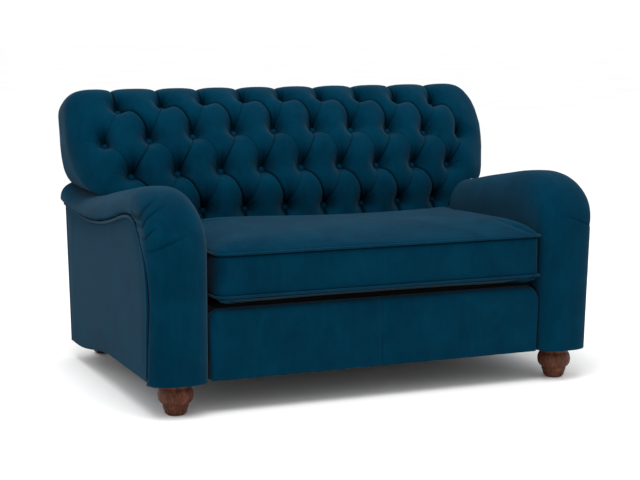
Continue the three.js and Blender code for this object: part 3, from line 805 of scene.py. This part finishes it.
def build_buttons():
    """Domed fabric buttons at the bottom of their pits."""
    turn = np.linspace(0, 2 * np.pi, 25)[:-1]
    # (radius, rise) from the crown of the dome to its underside
    profile = [(0.0, 5.2), (4.0, 4.8), (7.5, 3.4), (9.6, 1.0), (10.0, -1.2), (9.0, -3.0), (0.0, -3.2)]
    for number, row in enumerate(button_places(), 1):
        vertices, faces = [], []
        for bx, bw, depth in row:
            here = back_hull(np.array([bx, bx + 1, bx]), np.array([bw, bw, bw + 1]))
            normal = np.cross(here[1] - here[0], here[2] - here[0])
            normal /= np.linalg.norm(normal)
            normal *= -np.sign(normal[1])
            centre = here[0] - normal * (depth * end_calm(bx) - BUTTON_RISE)
            right = np.cross(normal, [0, 0, 1.0])
            right /= np.linalg.norm(right)
            up = np.cross(right, normal)
            faces.extend((len(vertices) + ring_faces(len(profile), len(turn))).tolist())
            around = np.cos(turn)[:, None] * right + np.sin(turn)[:, None] * up
            for radius, rise in profile:
                vertices.extend((centre + normal * rise + radius * around).tolist())
        buttons = new_object(f"back_buttons_row_{number}", vertices, faces, SHADED_BUTTON_VELVET)
        finish_piece(buttons, "frame")


# ---- Outside back ----
def build_outside_back():
    """Plain padded panel behind the back."""
    z = np.linspace(REAR_BASE + 2, PANEL_TOP, 130)
    turn = np.linspace(-1, 1, 150) * np.pi / 2 * 0.93
    across = np.sin(turn) / np.sin(turn[-1])
    halves = []
    for side in ("left", "right"):
        low_half = PANEL_X - 1 + side_out(PANEL_REAR, z, side)
        half = low_half + (BACK_PANEL_TOP - low_half) * np.clip((z - SHOULDER_LOW) / SHOULDER_RISE, 0, 1)
        radius = PANEL_TOP - SHOULDER_TOP
        halves.append(half - radius * (1 - superellipse(np.clip((z - SHOULDER_TOP) / radius, 0, 1), 2)))
    half = np.where(across < 0, halves[0][:, None], halves[1][:, None])
    x = half * across
    zz = np.repeat(z[:, None], x.shape[1], axis=1)
    edge = np.minimum.reduce([half - np.abs(x), zz - z[0], z[-1] - zz])
    plane = PANEL_REAR + (zz - REAR_BASE) * RAKE
    swell = 8.5 * superellipse(1 - np.clip(edge / 12, 0, 1), 2) + 2.5 * smoothstep(10, 200, edge)
    rear = np.stack([x, plane - 9 + swell, zz], axis=2)
    front = np.stack([x, plane - 10, zz], axis=2)
    panel = tube_grid("outside_back_panel", np.hstack([rear, front[:, ::-1]]), VELVET)
    finish_piece(panel, "frame", "outside_back")


# ---- Front border ----
def build_border():
    """Padded rail cover under the seat, drawn in along its middle seam."""
    half, corner = ARM_INNER - 0.5, 34.0
    by_ends = half - np.geomspace(0.2, corner, 14)
    x = np.unique(np.r_[np.linspace(-half, half, 130), np.linspace(-24, 24, 41), by_ends, -by_ends])
    z = np.linspace(BASE, 270, 40)
    turn = np.linspace(0, np.pi / 2, 14)[1:]
    outline = np.r_[np.c_[np.full(40, -457.0), z], np.c_[-431 - 26 * np.cos(turn), 270 + 26 * np.sin(turn)]]
    outline = np.r_[outline, [[-425, 296], [-425, 200], [-425, BASE]]]
    grid = np.empty((len(x), len(outline), 3))
    grid[..., 0] = x[:, None]
    grid[..., 1] = outline[:, 0]
    grid[..., 2] = outline[:, 1]
    past = np.clip((np.abs(x) - half + corner) / corner, 0, 1)
    grid[..., 2] -= (corner * (1 - superellipse(past, 2)))[:, None] * smoothstep(200, 296, grid[..., 2])
    grid[..., 0] *= 1 - 0.010 * smoothstep(240, BASE, grid[..., 2])
    front = smoothstep(-430, -450, grid[..., 1])
    seam = np.abs(grid[..., 0])  # distance from the middle seam
    grid[..., 1] += front * (2.6 * np.exp(-((seam / 2.2) ** 1.4)) + 1.6 * np.exp(-((seam / 14) ** 2)))
    grid[..., 1] -= front * 2.0 * smoothstep(0, 50, grid[..., 2] - BASE) * smoothstep(0, 60, half - seam)
    grid[..., 1] += front * 6 * (1 - superellipse(1 - np.clip((half - np.abs(x)) / 10, 0, 1), 2))[:, None]
    border = tube_grid("front_border_pad", grid, VELVET)
    finish_piece(border, "frame", "front_border")


# ---- Seat cushion ----
CLOTH_STEPS = 20


def rounded_outline(half, front, back, radii, count):
    """Rounded rectangle in plan with evenly spaced points, anticlockwise from its rear right corner."""
    signs = [(1, 1), (-1, 1), (-1, -1), (1, -1)]
    points = []
    for quarter, ((sx, sy), radius) in enumerate(zip(signs, np.broadcast_to(radii, 4))):
        turn = (quarter + np.linspace(0, 1, 12)) * np.pi / 2
        edge = back if sy > 0 else front
        centre = sx * (half - radius), edge - sy * radius
        points.append(np.c_[centre[0] + radius * np.cos(turn), centre[1] + radius * np.sin(turn)])
    closed = np.concatenate([*points, points[0][:1]])
    return resample(closed, count + 1)[:-1]


def stacked(flats, heights):
    """Rings from plan outlines and the height of each."""
    return np.stack([np.c_[flat, np.full(len(flat), z)] for flat, z in zip(flats, heights)])


def cushion_block():
    """The seat cushion before it is filled: boxing between two welts, and low crowns above and below."""
    # (distance in from the boxing, z)
    levels = [
        (240, 305), (120, 305), (50, 305), (24, 305.5), (12, 308), (5, 313), (2, 320), (1, CUSHION_LOW),
        (2, 345), (2, 390), (2, 436), (1, CUSHION_HIGH), (7, 459), (20, 469), (45, 479), (85, 487),
        (150, 492), (240, CUSHION_CROWN),
    ]
    flats = []
    for step, z in levels:
        crown = z > CUSHION_HIGH
        back = CUSHION_BACK - step * (0.4 if crown else 1)
        to_right = 0.32 * step if crown else 0
        half = CUSHION_HALF + 2 - step + to_right
        flat = rounded_outline(half, CUSHION_FRONT + step, back, CUSHION_CORNERS, 260)
        flats.append(flat + [to_right, 0])
    return tube_grid("seat_cushion_pad", stacked(flats, [z for _, z in levels]), VELVET)


def remeshed(piece, voxel):
    """Even quads over the piece's surface."""
    modifier = piece.modifiers.new("even", "REMESH")
    modifier.mode = "VOXEL"
    modifier.voxel_size = voxel * MM
    modifier.use_smooth_shade = True
    apply_modifiers(piece)


def apply_modifiers(piece):
    """Bakes the piece's modifiers into its mesh."""
    evaluated = piece.evaluated_get(bpy.context.evaluated_depsgraph_get())
    made = bpy.data.meshes.new_from_object(evaluated)
    piece.modifiers.clear()
    old = piece.data
    if not made.materials:
        made.materials.append(old.materials[0])
    piece.data = made
    bpy.data.meshes.remove(old)


def vertex_array(piece):
    """The piece's vertices in millimetres."""
    flat = np.empty(len(piece.data.vertices) * 3, np.float32)
    piece.data.vertices.foreach_get("co", flat)
    return flat.reshape(-1, 3).astype(float) / MM


def move_vertices(piece, points):
    """Puts the piece's vertices at points given in millimetres."""
    piece.data.vertices.foreach_set("co", (points * MM).ravel())
    piece.data.update()


def inflate(piece, pinned, pressure, limit):
    """Fills the piece by cloth pressure, with some points pinned and none moved past the limit."""
    before = vertex_array(piece)
    seams = piece.vertex_groups.new(name="seams")
    seams.add([int(i) for i in np.where(pinned(before))[0]], 1.0, "REPLACE")
    cloth = piece.modifiers.new("cloth", "CLOTH")
    settings = cloth.settings
    settings.quality = 5
    settings.mass = 0.3
    settings.tension_stiffness = settings.compression_stiffness = 12
    settings.bending_stiffness = 0.5
    settings.use_pressure = True
    settings.uniform_pressure_force = pressure
    settings.vertex_group_mass = "seams"
    settings.effector_weights.gravity = 0
    for step in range(1, CLOTH_STEPS + 1):
        bpy.context.scene.frame_set(step)
    apply_modifiers(piece)
    after = vertex_array(piece)
    piece.vertex_groups.clear()
    bpy.context.scene.frame_set(1)
    moved = after - before
    length = np.linalg.norm(moved, axis=1, keepdims=True)
    move_vertices(piece, before + moved * np.minimum(1, limit / np.maximum(length, 1e-6)))


def subdivided(piece):
    """Smooths the piece by one level of subdivision."""
    piece.modifiers.new("smooth", "SUBSURF").levels = 1
    apply_modifiers(piece)
    piece.data.shade_smooth()


def plan_distance(points):
    """How far inside the cushion's plan each point lies."""
    middle_y = (CUSHION_FRONT + CUSHION_BACK) / 2
    reach_y = (CUSHION_BACK - CUSHION_FRONT) / 2 - np.abs(points[:, 1] - middle_y)
    return np.minimum(CUSHION_HALF - np.abs(points[:, 0]), reach_y)


def shape_cushion(piece):
    """Settles the filled cushion on the deck, sinks its two seams and paints a thin line of shade under each.
    """
    points = vertex_array(piece)
    inside = plan_distance(points)
    inward = [0, (CUSHION_FRONT + CUSHION_BACK) / 2] - points[:, :2]
    inward /= np.linalg.norm(inward, axis=1, keepdims=True)
    for height in (CUSHION_LOW, CUSHION_HIGH):
        near = np.exp(-(((points[:, 2] - height) / 3.5) ** 2)) * (inside < 16)
        points[:, :2] += inward * (2.5 * near)[:, None]
    soft = 7.0  # height over which the crown is eased down to its ceiling
    over = (points[:, 2] - CUSHION_CROWN - 4) / soft
    points[:, 2] -= soft * np.log1p(np.exp(over))
    points[:, 2] = np.maximum(points[:, 2], DECK_TOP + 1)
    points[:, 0] = np.clip(points[:, 0] + CUSHION_SHIFT, -ARM_INNER + CUSHION_GAP, ARM_INNER - 1)
    points[:, 1] = np.minimum(points[:, 1], CUSHION_BACK + 6)
    move_vertices(piece, points)
    # painted shade: a thin dark line just below each welt
    seam = np.minimum(np.abs(points[:, 2] - CUSHION_HIGH + 7), np.abs(points[:, 2] - CUSHION_LOW + 7))
    set_shade(piece.data, 0.8 * np.exp(-((seam / 3) ** 2)) * (inside < 14))


def on_seam(points):
    """Which points lie on a seam of the boxing."""
    inside = plan_distance(points)
    height = np.minimum(np.abs(points[:, 2] - CUSHION_HIGH), np.abs(points[:, 2] - CUSHION_LOW))
    return (height < 5) & (inside < 18)


def build_cushion():
    """The filled seat cushion and the welts round its two seams."""
    cushion = cushion_block()
    remeshed(cushion, 6.0)
    inflate(cushion, on_seam, pressure=5.0, limit=24.0)
    subdivided(cushion)
    shape_cushion(cushion)
    finish_piece(cushion, "seat_cushion", ["cushion_cover", "cushion_core"])
    for name, z in (("top", CUSHION_HIGH), ("bottom", CUSHION_LOW)):
        flat = rounded_outline(CUSHION_HALF + 2, CUSHION_FRONT - 3, CUSHION_BACK + 5, CUSHION_CORNERS, 300)
        path = stacked([flat + [CUSHION_SHIFT, 0]], [z])[0]
        cord = sweep(f"cushion_{name}_welt", path, WELT, closed=True)
        finish_piece(cord, "seat_cushion", f"cushion_{name}_piping")


# ---- Deck and dust cover ----
def build_deck():
    """Lining-covered pad over the springs, with a rounded edge and a low crown."""
    half, front, back, low = ARM_INNER - 1, -424.0, 285.0, 244.0
    # (distance in from the edge, z)
    levels = [
        (200, low), (6, low), (1.5, low + 4), (0, low + 10), (0, DECK_TOP - 16), (2, DECK_TOP - 9),
        (7, DECK_TOP - 4), (14, DECK_TOP - 2.2), (17, DECK_TOP - 3.4), (20, DECK_TOP - 2.2),
        (40, DECK_TOP - 1), (90, DECK_TOP - 0.4), (160, DECK_TOP - 0.2), (240, DECK_TOP), (330, DECK_TOP),
    ]
    flats = [rounded_outline(half - s, front + s, back - s, 12, 200) for s, _ in levels]
    deck = tube_grid("seat_deck_pad", stacked(flats, [z for _, z in levels]), SHADE_DARKENED_LINING)
    finish_piece(deck, "frame", "seat_deck")


DUST_HALF, DUST_FRONT, DUST_BACK = 666.0, -424.0, 436.0


def build_dust_cover():
    """Thin black sheet stretched under the frame, slack in the middle and puckered at its edges."""
    x, y = np.linspace(-DUST_HALF, DUST_HALF, 120), np.linspace(DUST_FRONT, DUST_BACK, 90)
    gx, gy = np.meshgrid(x, y, indexing="ij")
    line = underside(gy) + 0.8
    edge = np.minimum(DUST_HALF - np.abs(gx), np.minimum(gy - DUST_FRONT, DUST_BACK - gy))
    slack = 1.6 * smoothstep(70, 200, edge) * (1 + 0.4 * np.sin(gx / 61) * np.sin(gy / 47))
    ripple = 0.35 * np.sin(gx / 7.5 + np.sin(gy / 40)) * smoothstep(60, 6, edge)
    under = np.stack([gx, gy, line - slack + ripple], axis=2)
    over = under + [0, 0, 1.1]
    cover = tube_grid("dust_cover_sheet", np.hstack([under, over[:, ::-1]]), SHADE_DARKENED_LINING)
    finish_piece(cover, "frame", "dust_cover")


# ---- Feet ----
FRONT_FOOT_X, FRONT_FOOT_Y = 613.0, -407.0
REAR_FOOT_X = 593.0
# (radius, z) of the front feet, from the floor up
FOOT_PROFILE = [
    (0, 3), (27, 3), (30, 5), (33, 14), (36.5, 24), (37.5, 28), (36, 31), (39, 33), (43, 36), (48.5, 44),
    (50.4, 53), (50.6, 60), (48.8, 69), (45.5, 76), (43.2, 79), (42.6, 82), (44.5, 84.5), (47, 88),
    (47.2, BASE - 0.4), (0, BASE - 0.4),
]


def build_feet():
    """Turned front feet, and the rear ones."""
    turn = np.linspace(0, 2 * np.pi, 65)[:-1]
    radius, height = np.array(FOOT_PROFILE).T[:, :, None]
    for side, sign in (("left", -1), ("right", 1)):
        x = sign * FRONT_FOOT_X + radius * np.cos(turn)
        y = FRONT_FOOT_Y + radius * np.sin(turn)
        rings = np.stack([x, y, np.broadcast_to(height, x.shape)], axis=2)
        foot = tube_grid(f"{side}_front_turned_foot", rings, WALNUT)
        finish_piece(foot, "frame", f"{side}_front_foot")
        build_rear_foot(side, sign)


def build_rear_foot(side, sign):
    """Square block that tapers and leans back towards the floor."""
    low, high = np.array([44, 470.0, 3]), np.array([52, 422.0, REAR_BASE - 0.3])  # width, y and z of its ends
    rings = []
    for share, shrink in ((0, 3), (0.03, 0.6), (0.06, 0), (0.94, 0), (1, 0.5)):
        width, y, z = low + (high - low) * share
        flat = rounded_outline(width / 2 - shrink, y - width / 2 + shrink, y + width / 2 - shrink, 4, 48)
        rings.append(np.c_[flat[:, 0] + sign * REAR_FOOT_X, flat[:, 1], np.full(len(flat), z)])
    foot = tube_grid(f"{side}_rear_block_foot", np.stack(rings), DARK_WOOD)
    finish_piece(foot, "frame", f"{side}_rear_foot")


# ---- Studio ----
def build_studio():
    """Floor, soft light from above and all round, and the photograph's camera."""
    corners = [(-6e4, -6e4, 0), (6e4, -6e4, 0), (6e4, 9e4, 0), (-6e4, 9e4, 0)]
    floor = new_object("studio_floor", corners, [(0, 1, 2, 3)], floor_material())
    scene = bpy.context.scene
    world = bpy.data.worlds.new("studio_world")
    world.use_nodes = True
    sky = world.node_tree.nodes["Background"].inputs
    sky["Color"].default_value = (1, 1, 1, 1)
    sky["Strength"].default_value = 1.08
    scene.world = world
    scene.view_settings.view_transform = "Standard"
    light = bpy.data.lights.new("overhead_softbox", "AREA")
    light.shape = "DISK"
    light.size = 3.4
    light.energy = 150
    lamp = bpy.data.objects.new("overhead_softbox", light)
    lamp.location = (-0.6, -1.2, 4.2)
    lamp.rotation_euler = (Vector((0, 0, 0.4)) - lamp.location).to_track_quat("-Z", "Y").to_euler()
    scene.collection.objects.link(lamp)
    camera = bpy.data.cameras.new("camera")
    camera.lens = 86.57
    camera.sensor_width = 36
    eye = bpy.data.objects.new("camera", camera)
    eye.location = (-1.8739, -4.4392, 1.0814)
    eye.rotation_euler = Euler((math.radians(90 - 7.97), 0, math.radians(-22.856)))
    scene.collection.objects.link(eye)
    scene.camera = eye


def floor_material():
    """Pale matt floor, very slightly clouded."""
    n = Nodes("pale_floor")
    cloud = n.noise(0.8, detail=2)
    colour = n.two_tone(cloud, (0.90, 0.90, 0.90), (0.93, 0.93, 0.93))
    return n.done(colour, n.range(cloud, 0.7, 0.8), n.bump(cloud, 0.02, 0.001))


# ---- Assembly ----
def paint_cad_nodes():
    """Every CAD node that stays in view gets its procedural material."""
    slots = {entry["node"]: entry["material_slot"] for entry in frame["record"]["subparts"]}
    for name, node in frame["nodes"].items():
        node.data.materials.clear()
        node.data.materials.append(CAD_LOOKS[slots[name]])


paint_cad_nodes()
build_arms()
build_back()
build_outside_back()
build_border()
build_cushion()
build_deck()
build_dust_cover()
build_feet()
build_studio()
